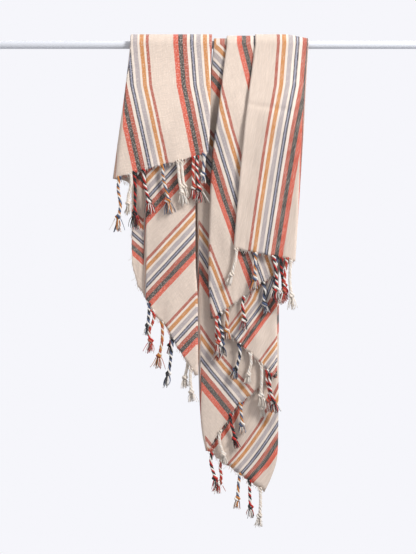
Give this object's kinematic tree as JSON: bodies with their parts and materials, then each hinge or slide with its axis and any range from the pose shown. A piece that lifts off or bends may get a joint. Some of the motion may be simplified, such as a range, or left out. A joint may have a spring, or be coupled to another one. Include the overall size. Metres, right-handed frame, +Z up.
{
  "type": "striped hammam towel on a plain rod",
  "caption": "Striped flat-woven hammam towel with twisted fringes, hung in two pleated tails with a swag behind, on a plain round rod.",
  "frame": {"origin": "centre of the rod's left end face, seen from the front of the towel", "axes": "+X along the rod to the right, +Y from the towel's front to its back, +Z up"},
  "size_m": [1, 0.0781, 0.9901],
  "materials": {
    "towel_cotton": "flat-woven cotton with warp stripes",
    "fringe_cotton": "two-ply twisted cotton yarn",
    "rod_paint": "satin white paint"
  },
  "bodies": {
    "root": {"towel": "towel_cotton", "fringe_left": "fringe_cotton", "fringe_right": "fringe_cotton", "rod": "rod_paint"}
  },
  "joints": []
}
